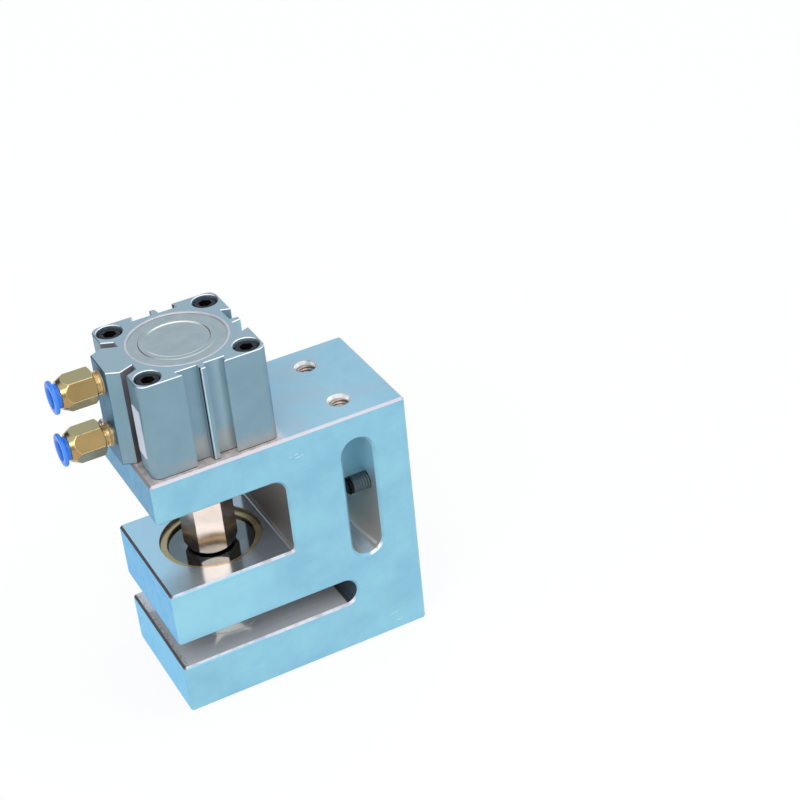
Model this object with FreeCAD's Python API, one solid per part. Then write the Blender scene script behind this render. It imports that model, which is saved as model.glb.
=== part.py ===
import FreeCAD, Part
import math
import os

# Pneumatic C-frame punch that cuts a four-pointed star, which rounds four pouch corners at one stroke.
# Millimetres. The punch axis is the Z axis, z = 0 is the base, -X is the open side of the frame
# (where the film enters and the air fittings point), +X is the closed back, Y is the width.
# Cutting tools run 1 mm or more past the faces that they cut.

# Clearances and small edges shared by many pieces.
SLIDE_CLEARANCE = 0.05
SEAT_CLEARANCE = 0.05
SEAL_CLEARANCE = 0.03
REST_GAP = 0.3
FINE_BEVEL = 0.3
TURNED_BEVEL = 0.6
HEX_FLAT_EDGE = 0.2

# Motion of the ram.
STROKE = 15.0

# Star tool: four concave sides of the corner radius, tips on the diagonals.
CORNER_R = 12.5
TIP_HALF_W = 0.35
CUT_CLEARANCE = 0.06
GUIDE_CLEARANCE = 0.04
HEAD_RIM = 6.2
PUNCH_HEAD_H = 5.0
PUNCH_TIP_BELOW_ARM = 1.2
PUNCH_STEM_R = 6.0
PUNCH_STEM_LEN = 15.0

# Rings and plates around the tool.
BUSH_WALL = 3.2
BUSH_SINK = 1.5
HEAD_SINK = 1.5
PLATE_H = 2.7
PLATE_LIP_H = 1.0
PLATE_LEDGE_W = 1.2
PLATE_LIP_CLEARANCE = 0.1
DIE_H = 10.0
DIE_LAND = 6.0
DIE_RELIEF = 1.0
DIE_RING_SINK = 0.2
DISCHARGE_RELIEF = 4.5

# Coupler and ram.
COUPLER_AF = 20.0
COUPLER_TURN = 14.0
COUPLER_GAP = 1.0
COUPLER_WEB = 6.0
COUPLER_CLEAR = 4.0
COUPLER_BEVEL = 1.7
ROD_R = 8.0
ROD_END_R = 5.0
ROD_END_LEN = 14.0
ROD_HOLE_CLEARANCE = 1.0
ROD_END_GAP = 0.5

# Frame block: three arms joined by a spine at the back.
BLOCK_W = 60.0
BLOCK_L = 113.0
PUNCH_TO_FRONT = 30.5
LOW_ARM_H = 24.0
FILM_GAP = 12.0
TOP_ARM_H = 19.0
FILM_THROAT = 51.5
WINDOW_THROAT = 25.8
WINDOW_TOP_R = 6.0
WINDOW_FLOOR_R = 2.0
BLOCK_BEVEL = 1.0

# Rail slot through the width of the spine, with its two vertical holes and two clamp screws.
RAIL_SLOT_W = 14.0
RAIL_SLOT_TO_BACK = 23.5
RAIL_SLOT_BOTTOM = 46.0
RAIL_SLOT_BELOW_TOP = 12.0
TAP_R = 4.0
TAP_SINK_W = 0.9
TAP_SINK_DEPTH = 2.2
TAP_Y = 16.0
CLAMP_SCREW_R = 4.0
CLAMP_SCREW_Y = 20.0
CLAMP_SCREW_BELOW_TOP = 40.5
CLAMP_SCREW_LEN = 24.0
CLAMP_REACH = 10.0
CLAMP_HEX = 4.0
CLAMP_HEX_DEPTH = 4.0
CLAMP_CUP_R = 1.6
CLAMP_CUP_RIM = 0.8
CLAMP_CUP_DEPTH = 1.0
CLAMP_POINT_LEN = 1.2

# Air cylinder: an extruded square barrel with a front port boss and grooves on the other sides.
BORE_R = 20.0
BARREL_WALL = 2.9
BARREL_CORNER_R = 4.0
BARREL_BEVEL = 0.35
GROOVE_DEPTH = 3.6
GROOVE_OUTER = 8.7
GROOVE_UNDERCUT = 1.4
RIB_HALF_TOP = 1.1
RIB_HALF_ROOT = 1.75
BOSS_OUT = 6.4
BOSS_HALF_FRONT = 8.2
BOSS_SHOULDER_OUT = 1.1
BOSS_HALF_SHOULDER = 10.9
POCKET_DEPTH = 4.9
POCKET_HALF_IN = 8.3
POCKET_HALF_OUT = 12.2
POCKET_MOUTH_HALF = 14.6

# Screws that hold the cylinder to the top arm.
BOLT_TO_FACE = 6.35
SCREW_R = 3.0
SCREW_HEAD_R = 5.0
SCREW_HEAD_H = 6.0
SCREW_SINK = 1.0
SCREW_HEX = 5.0
SCREW_HEX_DEPTH = 3.0
SCREW_IN_ARM = 13.0
SINK_CLEARANCE = 0.35
SCREW_HOLE_CLEARANCE = 0.3

# Covers of the cylinder and what they hold.
BACK_SEAT_STEP = 0.7
BACK_COVER_H = 6.0
BACK_COVER_SINK = 0.4
BACK_COVER_RIM = 0.4
BACK_RIDGE_R_IN = 13.2
BACK_RIDGE_R_OUT = 15.8
BACK_RIDGE_H = 0.3
BACK_RIDGE_SLOPE = 0.4
FRONT_SEAT_STEP = 0.8
FRONT_COVER_H = 7.2
FRONT_COVER_BOTTOM = 1.5
SEAL_GROOVE_W = 1.8
SEAL_GROOVE_DEPTH = 1.6
SEAL_GROOVE_UP = 1.9
SEAL_SIDE_GAP = 0.1
SEAL_ROUND = 0.4
RETAINER_T = 1.2
RETAINER_IN_GROOVE = 1.2
RETAINER_W = 3.4
RETAINER_GAP_HALF = 4.5
LUG_R = 2.2
LUG_HOLE_R = 1.0
LUG_Y = 6.4
LUG_INSIDE = 1.4
ROD_BUSH_WALL = 1.5
ROD_SEAL_W = 3.0
ROD_SEAL_H = 3.2
BUMPER_H = 1.5
BUMPER_OVER_SEAL = 0.8
BUMPER_W = 3.8
TOP_BUMPER_H = 1.8

# Piston parts.
PISTON_FLOAT = 0.8
PISTON_CLEARANCE = 0.1
PISTON_H = 8.5
PISTON_SEAT_H = 3.5
NUT_AF = 15.0
NUT_H = 4.0
NUT_ROOM = 0.74
ROD_TOP_SINK = 0.8
PISTON_SEAL_W = 3.4
PISTON_SEAL_H = 3.0
PISTON_SEAL_BELOW_TOP = 2.2
MAGNET_W = 2.3
MAGNET_H = 1.6
MAGNET_UP = 0.7

# Air ports on the front boss.
PORT_BELOW_TOP = 8.0
PORT_LOWER_Z = 10.7
PORT_DEPTH = 8.0
PORT_CLEARANCE = 0.09
PASSAGE_R = 1.0
PASSAGE_IN = 2.0
PASSAGE_STEP = 0.2
LOWER_FITTING_OUT = 0.9

# Push-in fittings, measured outward from the boss face.
TUBE_R = 4.0
TUBE_ROOM = 0.1
TUBE_SEAT_ROOM = 0.15
TUBE_SEAT_LEN = 4.0
TUBE_WALL = 1.0
THREAD_R = 4.86
THREAD_PITCH = 0.907
THREAD_DEPTH = 0.55
THREAD_SHOWING = 3.2
THREAD_RELIEF = 0.2
HEX_LEN = 14.4
HEX_BACK_BEVEL = 0.8
HEX_CONE_LEN = 3.9
HEX_WALL = 0.8
MOUTH_WALL = 0.35
CAVITY_DEPTH = 9.6
SLEEVE_WALL = 0.5
FITTING_SEAL_H = 2.2
COLLET_T = 0.7
COLLET_TEETH = 8
COLLET_SLIT_W = 0.6
COLLET_SLIT_END = 4.9
COLLAR_WALL = 0.9
COLLAR_IN = 5.0
FLANGE_GAP = 1.6
FLANGE_T = 1.7
FLANGE_OUT = 1.95
FLANGE_ROUND = 0.7
FUNNEL_W = 0.5
FUNNEL_DEPTH = 0.8
UPPER_FITTING_TURN = -7.0
LOWER_FITTING_TURN = -1.0
BEAD_W = 0.4
BEAD_LEN = 0.9

# Bare label on the front pillar of the barrel.
LABEL_T = 0.2
LABEL_W = 7.8
LABEL_H = 22.3
LABEL_UP = 8.1

# Radii and levels that follow from the sizes above, from the tool outwards and upwards.
PUNCH_HEAD_R = CORNER_R + HEAD_RIM
BUSH_BORE_R = PUNCH_HEAD_R + SLIDE_CLEARANCE
BUSH_R = BUSH_BORE_R + BUSH_WALL
TOOL_BORE_R = BUSH_R + SEAT_CLEARANCE
PLATE_LIP_R = BUSH_R - PLATE_LEDGE_W
DISCHARGE_R = CORNER_R + DISCHARGE_RELIEF
FILM_TOP = LOW_ARM_H + FILM_GAP
DIE_Z0 = LOW_ARM_H - DIE_H
PLATE_TOP = FILM_TOP + PLATE_H
PUNCH_HEAD_Z0 = PLATE_TOP + REST_GAP + STROKE
PUNCH_HEAD_TOP = PUNCH_HEAD_Z0 + PUNCH_HEAD_H
PUNCH_STEM_TOP = PUNCH_HEAD_TOP + PUNCH_STEM_LEN
BUSH_TOP = PUNCH_HEAD_TOP + HEAD_SINK
MID_TOP = BUSH_TOP + BUSH_SINK
COUPLER_Z0 = PUNCH_HEAD_TOP + COUPLER_GAP
COUPLER_Z1 = PUNCH_STEM_TOP + COUPLER_WEB + ROD_END_LEN
WINDOW_TOP = COUPLER_Z1 + COUPLER_CLEAR
BLOCK_TOP = WINDOW_TOP + TOP_ARM_H
FRONT_X = -PUNCH_TO_FRONT
BACK_X = BLOCK_L - PUNCH_TO_FRONT
RAIL_SLOT_X = BACK_X - RAIL_SLOT_TO_BACK
RAIL_SLOT_TOP = BLOCK_TOP - RAIL_SLOT_BELOW_TOP
CLAMP_TIP_X = RAIL_SLOT_X + RAIL_SLOT_W / 2 - CLAMP_REACH
CLAMP_SCREW_Z = BLOCK_TOP - CLAMP_SCREW_BELOW_TOP

BACK_SEAT_R = BORE_R + BACK_SEAT_STEP
FRONT_SEAT_R = BORE_R + FRONT_SEAT_STEP
RETAINER_GROOVE_R = FRONT_SEAT_R + RETAINER_IN_GROOVE
BARREL_HALF = BACK_SEAT_R + BARREL_WALL + GROOVE_DEPTH
BOLT_XY = BARREL_HALF - BOLT_TO_FACE
BOSS_X = BARREL_HALF + BOSS_OUT
SINK_R = SCREW_HEAD_R + SINK_CLEARANCE
ROD_BUSH_R = ROD_R + SLIDE_CLEARANCE + ROD_BUSH_WALL
ROD_SEAL_R = ROD_R + ROD_SEAL_W
BUMPER_R_IN = ROD_SEAL_R - BUMPER_OVER_SEAL
FRONT_COVER_Z0 = BLOCK_TOP + FRONT_COVER_BOTTOM
FRONT_COVER_Z1 = FRONT_COVER_Z0 + FRONT_COVER_H
PISTON_Z0 = FRONT_COVER_Z1 + BUMPER_H + STROKE + PISTON_FLOAT
PISTON_Z1 = PISTON_Z0 + PISTON_H
TOP_BUMPER_Z0 = PISTON_Z1 + REST_GAP
BACK_COVER_Z0 = TOP_BUMPER_Z0 + TOP_BUMPER_H
BACK_COVER_Z1 = BACK_COVER_Z0 + BACK_COVER_H
BARREL_TOP = BACK_COVER_Z1 + BACK_COVER_SINK
PISTON_R = BORE_R - PISTON_CLEARANCE
NUT_SEAT_Z = PISTON_Z0 + PISTON_SEAT_H
SEAL_FLOOR_R = PISTON_R - PISTON_SEAL_W
PISTON_SEAL_Z = PISTON_Z1 - PISTON_SEAL_BELOW_TOP - PISTON_SEAL_H
MAGNET_FLOOR_R = PISTON_R - MAGNET_W
MAGNET_Z = PISTON_Z0 + MAGNET_UP

PORT_R = THREAD_R + PORT_CLEARANCE
PORT_UPPER_AT = BARREL_TOP - PORT_BELOW_TOP
PORT_LOWER_AT = BLOCK_TOP + PORT_LOWER_Z
AIR_WAY_R = TUBE_R - TUBE_WALL
TUBE_SEAT_R = TUBE_R + TUBE_SEAT_ROOM
COLLAR_BORE_R = TUBE_R + TUBE_ROOM
COLLAR_R = COLLAR_BORE_R + COLLAR_WALL
CAVITY_R = COLLAR_R + SLEEVE_WALL
MOUTH_R = CAVITY_R + MOUTH_WALL
FITTING_HALF_AF = MOUTH_R + HEX_WALL
FLANGE_R = COLLAR_R + FLANGE_OUT
BODY_MOUTH = THREAD_SHOWING + HEX_LEN
CAVITY_START = BODY_MOUTH - CAVITY_DEPTH
COLLAR_START = BODY_MOUTH - COLLAR_IN
FLANGE_START = BODY_MOUTH + FLANGE_GAP

UP = FreeCAD.Vector(0, 0, 1)
TO_BACK = FreeCAD.Vector(1, 0, 0)


def vec(x, y, z):
    return FreeCAD.Vector(x, y, z)


def save(shape, name):
    shape.exportStep("parts/" + name + ".step")


def box(x0, x1, y0, y1, z0, z1):
    return Part.makeBox(x1 - x0, y1 - y0, z1 - z0, vec(x0, y0, z0))


def disc(r, z0, z1, x=0.0, y=0.0):
    return Part.makeCylinder(r, z1 - z0, vec(x, y, z0), UP)


def rod_along_x(r, x0, x1, y, z):
    return Part.makeCylinder(r, x1 - x0, vec(x0, y, z), TO_BACK)


def prism(points, z0, z1):
    corners = [vec(x, y, z0) for x, y in points]
    face = Part.Face(Part.makePolygon(corners + corners[:1]))
    return face.extrude(vec(0, 0, z1 - z0))


def turned(points):
    """Solid of revolution about Z from (radius, height) corners."""
    corners = [vec(r, 0, z) for r, z in points]
    face = Part.Face(Part.makePolygon(corners + corners[:1]))
    return face.revolve(vec(0, 0, 0), UP, 360)


def ring(r_in, r_out, z0, z1, bevel=0.0):
    """Ring with its four edges bevelled."""
    if bevel == 0.0:
        return turned([(r_in, z0), (r_out, z0), (r_out, z1), (r_in, z1)])
    return turned([
        (r_in + bevel, z0), (r_out - bevel, z0), (r_out, z0 + bevel), (r_out, z1 - bevel),
        (r_out - bevel, z1), (r_in + bevel, z1), (r_in, z1 - bevel), (r_in, z0 + bevel)])


def corner_radius(across_flats):
    return across_flats / 2 / math.cos(math.radians(30))


def hexagon(across_flats, z0, z1, turn=0.0):
    """Hexagonal prism about Z; one pair of flats faces X when turn is 0."""
    r = corner_radius(across_flats)
    angles = [math.radians(30 + turn + 60 * k) for k in range(6)]
    return prism([(r * math.cos(a), r * math.sin(a)) for a in angles], z0, z1)


def point_outward(shape, x, z):
    """Turns a part built along +Z so that it points along -X, starting at x and centred on height z."""
    moved = shape.copy()
    moved.rotate(vec(0, 0, 0), vec(0, 1, 0), -90)
    moved.translate(vec(x, 0, z))
    return moved


def star(grow, z0, z1):
    """Star prism: a square cut back by a round bite in each side, which leaves narrow blunt tips."""
    reach = (CORNER_R + grow) / math.sqrt(2)
    body = box(-reach, reach, -reach, reach, z0, z1)
    bite_r = CORNER_R - TIP_HALF_W - grow
    centre = CORNER_R * math.sqrt(2)
    for x, y in ((centre, 0), (-centre, 0), (0, centre), (0, -centre)):
        body = body.cut(disc(bite_r, z0 - 1, z1 + 1, x, y))
    return body


def bolt_places():
    return [(-BOLT_XY, -BOLT_XY), (BOLT_XY, -BOLT_XY), (BOLT_XY, BOLT_XY), (-BOLT_XY, BOLT_XY)]


# Frame block

def rounded_slot(x_end, z0, z1):
    """Slot through the width, open at the front, with a full-round end."""
    r = (z1 - z0) / 2
    body = box(FRONT_X - 5, x_end - r, -BLOCK_W, BLOCK_W, z0, z1)
    end = Part.makeCylinder(r, 2 * BLOCK_W, vec(x_end - r, -BLOCK_W, (z0 + z1) / 2), vec(0, 1, 0))
    return body.fuse(end)


def edge_along_y(shape, x, z):
    """The edges of a shape that run along Y through the point x, z."""
    found = []
    for edge in shape.Edges:
        b = edge.BoundBox
        if b.YLength > 1 and b.XLength + b.ZLength < 0.01 and abs(b.XMin - x) + abs(b.ZMin - z) < 0.01:
            found.append(edge)
    return found


def window():
    """Opening between the middle and top arms, with its two inner corners rounded."""
    body = box(FRONT_X - 5, WINDOW_THROAT, -BLOCK_W, BLOCK_W, MID_TOP, WINDOW_TOP)
    body = body.makeFillet(WINDOW_TOP_R, edge_along_y(body, WINDOW_THROAT, WINDOW_TOP))
    return body.makeFillet(WINDOW_FLOOR_R, edge_along_y(body, WINDOW_THROAT, MID_TOP))


def rail_slot():
    r = RAIL_SLOT_W / 2
    low = RAIL_SLOT_BOTTOM + r
    high = RAIL_SLOT_TOP - r
    body = box(RAIL_SLOT_X - r, RAIL_SLOT_X + r, -BLOCK_W, BLOCK_W, low, high)
    for z in (low, high):
        body = body.fuse(Part.makeCylinder(r, 2 * BLOCK_W, vec(RAIL_SLOT_X, -BLOCK_W, z), vec(0, 1, 0)))
    return body.removeSplitter()


def on_side_face(edge):
    b = edge.BoundBox
    return b.YLength < 0.01 and abs(abs(b.YMin) - BLOCK_W / 2) < 0.01


def on_end_face(edge):
    b = edge.BoundBox
    at_end = abs(b.XMin - FRONT_X) < 0.01 or abs(b.XMin - BACK_X) < 0.01
    return b.XLength < 0.01 and b.ZLength < 0.01 and at_end


def tool_bores():
    """Bores of the middle arm and the lower arm, each with a lip or shoulder below."""
    lip_top = FILM_TOP + PLATE_LIP_H
    cut = disc(TOOL_BORE_R, lip_top, MID_TOP + 1)
    cut = cut.fuse(disc(PLATE_LIP_R + PLATE_LIP_CLEARANCE, FILM_TOP - 1, lip_top))
    cut = cut.fuse(disc(TOOL_BORE_R, DIE_Z0, LOW_ARM_H + 1))
    return cut.fuse(disc(DISCHARGE_R, -1, DIE_Z0))


def top_holes():
    """Rod hole, four screw holes and two countersunk tapped holes in the top arm."""
    cut = disc(ROD_R + ROD_HOLE_CLEARANCE, WINDOW_TOP - 1, BLOCK_TOP + 1)
    for x, y in bolt_places():
        cut = cut.fuse(disc(SCREW_R + SEAT_CLEARANCE, BLOCK_TOP - SCREW_IN_ARM - 1, BLOCK_TOP + 1, x, y))
    for y in (-TAP_Y, TAP_Y):
        cut = cut.fuse(disc(TAP_R, RAIL_SLOT_TOP - RAIL_SLOT_W / 2, BLOCK_TOP + 1, RAIL_SLOT_X, y))
        place = vec(RAIL_SLOT_X, y, BLOCK_TOP - TAP_SINK_DEPTH)
        cut = cut.fuse(Part.makeCone(TAP_R, TAP_R + TAP_SINK_W, TAP_SINK_DEPTH, place, UP))
    return cut


def frame_block():
    body = box(FRONT_X, BACK_X, -BLOCK_W / 2, BLOCK_W / 2, 0, BLOCK_TOP)
    body = body.cut(rounded_slot(FILM_THROAT, LOW_ARM_H, FILM_TOP))
    body = body.cut(window())
    body = body.cut(rail_slot())
    edges = [e for e in body.Edges if on_side_face(e) or on_end_face(e)]
    body = body.makeChamfer(BLOCK_BEVEL, edges)
    body = body.cut(tool_bores()).cut(top_holes())
    for y in (-CLAMP_SCREW_Y, CLAMP_SCREW_Y):
        hole = rod_along_x(CLAMP_SCREW_R + SLIDE_CLEARANCE, RAIL_SLOT_X, BACK_X + 1, y, CLAMP_SCREW_Z)
        body = body.cut(hole)
    return body


def rail_clamp_screw(y):
    """Set screw with a cup point towards the slot and a hex socket at the back."""
    r = CLAMP_SCREW_R
    end = CLAMP_SCREW_LEN
    body = turned([
        (0, CLAMP_CUP_DEPTH), (CLAMP_CUP_R, CLAMP_CUP_DEPTH), (CLAMP_CUP_R + CLAMP_CUP_RIM, 0),
        (r, CLAMP_POINT_LEN), (r, end - TURNED_BEVEL), (r - TURNED_BEVEL, end), (0, end)])
    body = body.cut(hexagon(CLAMP_HEX, end - CLAMP_HEX_DEPTH, end + 1))
    body.rotate(vec(0, 0, 0), vec(0, 1, 0), 90)
    body.translate(vec(CLAMP_TIP_X, y, CLAMP_SCREW_Z))
    return body


# Punch, die and the rings that hold them

def guide_bush():
    return ring(BUSH_BORE_R, BUSH_R, PLATE_TOP, BUSH_TOP, FINE_BEVEL)


def stripper_plate():
    """Plate with the star opening that guides the punch, seated on the lip of the middle arm."""
    low = FILM_TOP
    lip = FILM_TOP + PLATE_LIP_H
    top = PLATE_TOP
    side = [(PLATE_LIP_R, low), (PLATE_LIP_R, lip), (BUSH_R, lip), (BUSH_R, top)]
    plate = turned([(0, low)] + side + [(0, top)])
    return plate.cut(star(GUIDE_CLEARANCE, low - 1, top + 1))


def punch():
    """Star-shaped cutting body below a round guide head with a stem."""
    low = PUNCH_HEAD_Z0
    top = PUNCH_HEAD_TOP
    r = PUNCH_HEAD_R
    b = FINE_BEVEL
    head = turned([(0, low), (r - b, low), (r, low + b), (r, top - b), (r - b, top), (0, top)])
    stem = disc(PUNCH_STEM_R, top - 1, PUNCH_STEM_TOP)
    tip = FILM_TOP - PUNCH_TIP_BELOW_ARM
    return head.fuse(stem).fuse(star(0, tip, low + 1)).removeSplitter()


def die_insert():
    """Die with the star opening: a straight cutting land above a round relief."""
    body = disc(PUNCH_HEAD_R, DIE_Z0, LOW_ARM_H)
    body = body.cut(disc(CORNER_R + DIE_RELIEF, DIE_Z0 - 1, LOW_ARM_H - DIE_LAND))
    return body.cut(star(CUT_CLEARANCE, DIE_Z0, LOW_ARM_H + 1))


def die_ring():
    return ring(BUSH_BORE_R, BUSH_R, DIE_Z0, LOW_ARM_H - DIE_RING_SINK, FINE_BEVEL / 2)


# Coupler, rod and piston

def hex_coupler():
    """Hexagonal bar that joins the punch stem to the rod, with turned bevels at both ends."""
    z0 = COUPLER_Z0
    z1 = COUPLER_Z1
    flat_r = COUPLER_AF / 2 - HEX_FLAT_EDGE
    full_r = corner_radius(COUPLER_AF) + 1
    slope = COUPLER_BEVEL / (corner_radius(COUPLER_AF) - flat_r)
    rise = slope * (full_r - flat_r)
    ends = turned([(0, z0), (flat_r, z0), (full_r, z0 + rise), (full_r, z1 - rise), (flat_r, z1), (0, z1)])
    body = hexagon(COUPLER_AF, z0, z1, COUPLER_TURN).common(ends)
    body = body.cut(disc(PUNCH_STEM_R + SEAT_CLEARANCE, z0 - 1, PUNCH_STEM_TOP))
    return body.cut(disc(ROD_END_R + SEAT_CLEARANCE, z1 - ROD_END_LEN - ROD_END_GAP, z1 + 1))


def piston_rod():
    low = COUPLER_Z1 - ROD_END_LEN
    neck = COUPLER_Z1
    top = PISTON_Z1 - ROD_TOP_SINK
    r = ROD_R
    end = ROD_END_R
    b = TURNED_BEVEL
    return turned([
        (0, low), (end - b, low), (end, low + b), (end, neck), (r - b, neck), (r, neck + b),
        (r, PISTON_Z0), (end, PISTON_Z0), (end, top - b), (end - b, top), (0, top)])


def piston():
    """Piston disc with a groove for the magnet, a groove for the seal and a recess for the nut."""
    hole = ROD_END_R + SEAT_CLEARANCE
    recess = corner_radius(NUT_AF) + NUT_ROOM
    seal = PISTON_SEAL_Z
    magnet = MAGNET_Z
    r = PISTON_R
    return turned([
        (hole, PISTON_Z0), (r, PISTON_Z0), (r, magnet), (MAGNET_FLOOR_R, magnet),
        (MAGNET_FLOOR_R, magnet + MAGNET_H), (r, magnet + MAGNET_H), (r, seal), (SEAL_FLOOR_R, seal),
        (SEAL_FLOOR_R, seal + PISTON_SEAL_H), (r, seal + PISTON_SEAL_H), (r, PISTON_Z1), (recess, PISTON_Z1),
        (recess, NUT_SEAT_Z), (hole, NUT_SEAT_Z)])


def piston_seal():
    top = PISTON_SEAL_Z + PISTON_SEAL_H - SEAL_SIDE_GAP
    return ring(SEAL_FLOOR_R + SEAT_CLEARANCE, BORE_R - SEAL_CLEARANCE, PISTON_SEAL_Z, top, FINE_BEVEL)


def piston_magnet():
    top = MAGNET_Z + MAGNET_H - SEAL_SIDE_GAP
    return ring(MAGNET_FLOOR_R + SEAT_CLEARANCE, BORE_R - 2 * SEAL_CLEARANCE, MAGNET_Z, top)


def piston_nut():
    top = NUT_SEAT_Z + NUT_H
    return hexagon(NUT_AF, NUT_SEAT_Z, top).cut(disc(ROD_END_R + SEAT_CLEARANCE, NUT_SEAT_Z - 1, top + 1))


# Air cylinder

def side_groove(sign):
    """Plan outline of one undercut groove beside the central rib of a side, at -Y."""
    outer = -BARREL_HALF
    floor = outer + GROOVE_DEPTH
    return [
        (sign * GROOVE_OUTER, outer), (sign * (GROOVE_OUTER + GROOVE_UNDERCUT), floor),
        (sign * RIB_HALF_ROOT, floor), (sign * RIB_HALF_TOP, outer),
        (sign * RIB_HALF_TOP, outer - 1), (sign * GROOVE_OUTER, outer - 1)]


def front_pocket(sign):
    """Plan outline of the pocket between the port boss and a front pillar."""
    outer = -BARREL_HALF
    floor = outer + POCKET_DEPTH
    shoulder = outer - BOSS_SHOULDER_OUT
    return [
        (outer, sign * POCKET_MOUTH_HALF), (floor, sign * POCKET_HALF_OUT), (floor, sign * POCKET_HALF_IN),
        (shoulder, sign * BOSS_HALF_SHOULDER), (shoulder - 1, sign * BOSS_HALF_SHOULDER),
        (shoulder - 1, sign * POCKET_MOUTH_HALF)]


def barrel_profile():
    """Extruded outline: rounded square, front boss with a pocket each side, grooves on three sides."""
    half = BARREL_HALF
    z0 = BLOCK_TOP
    z1 = BARREL_TOP
    square = box(-half, half, -half, half, z0, z1)
    square = square.makeFillet(BARREL_CORNER_R, [e for e in square.Edges if e.BoundBox.ZLength > 1])
    shoulder = -half - BOSS_SHOULDER_OUT
    boss = [
        (-half + 2, BOSS_HALF_SHOULDER), (shoulder, BOSS_HALF_SHOULDER), (-BOSS_X, BOSS_HALF_FRONT),
        (-BOSS_X, -BOSS_HALF_FRONT), (shoulder, -BOSS_HALF_SHOULDER), (-half + 2, -BOSS_HALF_SHOULDER)]
    body = square.fuse(prism(boss, z0, z1))
    for sign in (-1, 1):
        body = body.cut(prism(front_pocket(sign), z0 - 1, z1 + 1))
        groove = prism(side_groove(sign), z0 - 1, z1 + 1)
        for quarter in (0, 90, 180):
            turned_groove = groove.copy()
            turned_groove.rotate(vec(0, 0, 0), UP, quarter)
            body = body.cut(turned_groove)
    return body.removeSplitter()


def barrel_bore():
    """Bore with the back cover's seat above, the front cover's seat and the retaining groove below."""
    z0 = BLOCK_TOP
    z1 = BARREL_TOP
    rim = BACK_COVER_RIM
    groove_top = FRONT_COVER_Z0 + SEAT_CLEARANCE
    groove_low = FRONT_COVER_Z0 - RETAINER_T - SEAT_CLEARANCE
    return turned([
        (0, z0 - 1), (FRONT_SEAT_R, z0 - 1), (FRONT_SEAT_R, groove_low), (RETAINER_GROOVE_R, groove_low),
        (RETAINER_GROOVE_R, groove_top), (FRONT_SEAT_R, groove_top), (FRONT_SEAT_R, FRONT_COVER_Z1),
        (BORE_R, FRONT_COVER_Z1), (BORE_R, BACK_COVER_Z0), (BACK_SEAT_R, BACK_COVER_Z0),
        (BACK_SEAT_R, z1 - rim), (BACK_SEAT_R + rim, z1), (BACK_SEAT_R + rim + 1, z1 + 1), (0, z1 + 1)])


def cylinder_barrel():
    body = barrel_profile()
    top_edges = [e for e in body.Edges if e.BoundBox.ZLength < 0.01 and e.BoundBox.ZMin > BARREL_TOP - 0.01]
    body = body.makeChamfer(BARREL_BEVEL, top_edges)
    body = body.cut(barrel_bore())
    for x, y in bolt_places():
        sink = disc(SINK_R, BARREL_TOP - SCREW_SINK - SCREW_HEAD_H, BARREL_TOP + 1, x, y)
        rim_place = vec(x, y, BARREL_TOP - BARREL_BEVEL)
        rim = Part.makeCone(SINK_R, SINK_R + BARREL_BEVEL, BARREL_BEVEL, rim_place, UP)
        hole = disc(SCREW_R + SCREW_HOLE_CLEARANCE, BLOCK_TOP - 1, BARREL_TOP, x, y)
        body = body.cut(hole).cut(sink).cut(rim)
    for z, out in ((PORT_UPPER_AT, 0), (PORT_LOWER_AT, LOWER_FITTING_OUT)):
        body = body.cut(rod_along_x(PORT_R, -BOSS_X - 1, -BOSS_X + PORT_DEPTH - out, 0, z))
    for z in (BACK_COVER_Z0 - PASSAGE_R - PASSAGE_STEP, FRONT_COVER_Z1 + PASSAGE_R + PASSAGE_STEP):
        body = body.cut(rod_along_x(PASSAGE_R, -BOSS_X, -BORE_R + PASSAGE_IN, 0, z))
    return body


def sealed_cover(seat_r, z0, inner):
    """Outline of a cover from its lower outer edge to above its seal groove, after the inner corners."""
    r = seat_r - SEAT_CLEARANCE
    floor = r - SEAL_GROOVE_DEPTH
    low = z0 + SEAL_GROOVE_UP
    high = low + SEAL_GROOVE_W
    return inner + [(r, z0), (r, low), (floor, low), (floor, high), (r, high)]


def cover_seal(seat_r, z0):
    """Rubber ring in the seal groove of a cover."""
    r_in = seat_r - SEAT_CLEARANCE - SEAL_GROOVE_DEPTH + SEAT_CLEARANCE
    low = z0 + SEAL_GROOVE_UP
    return ring(r_in, seat_r - SEAL_CLEARANCE, low, low + SEAL_GROOVE_W - SEAL_SIDE_GAP, SEAL_ROUND)


def back_cover():
    """Disc with a low raised ring on its outer face."""
    z1 = BACK_COVER_Z1
    r = BACK_SEAT_R - SEAT_CLEARANCE
    rim = BACK_COVER_RIM
    slope = BACK_RIDGE_SLOPE
    crest = z1 + BACK_RIDGE_H
    outline = sealed_cover(BACK_SEAT_R, BACK_COVER_Z0, [(0, BACK_COVER_Z0)])
    return turned(outline + [
        (r, z1 - rim), (r - rim, z1), (BACK_RIDGE_R_OUT, z1), (BACK_RIDGE_R_OUT - slope, crest),
        (BACK_RIDGE_R_IN + slope, crest), (BACK_RIDGE_R_IN, z1), (0, z1)])


def front_cover():
    """Disc with the rod's bush below and the rod's seal above."""
    z1 = FRONT_COVER_Z1
    r = FRONT_SEAT_R - SEAT_CLEARANCE
    bush = ROD_BUSH_R + SEAT_CLEARANCE
    split = z1 - ROD_SEAL_H
    outline = sealed_cover(FRONT_SEAT_R, FRONT_COVER_Z0, [(bush, FRONT_COVER_Z0)])
    return turned(outline + [(r, z1), (ROD_SEAL_R, z1), (ROD_SEAL_R, split), (bush, split)])


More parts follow.
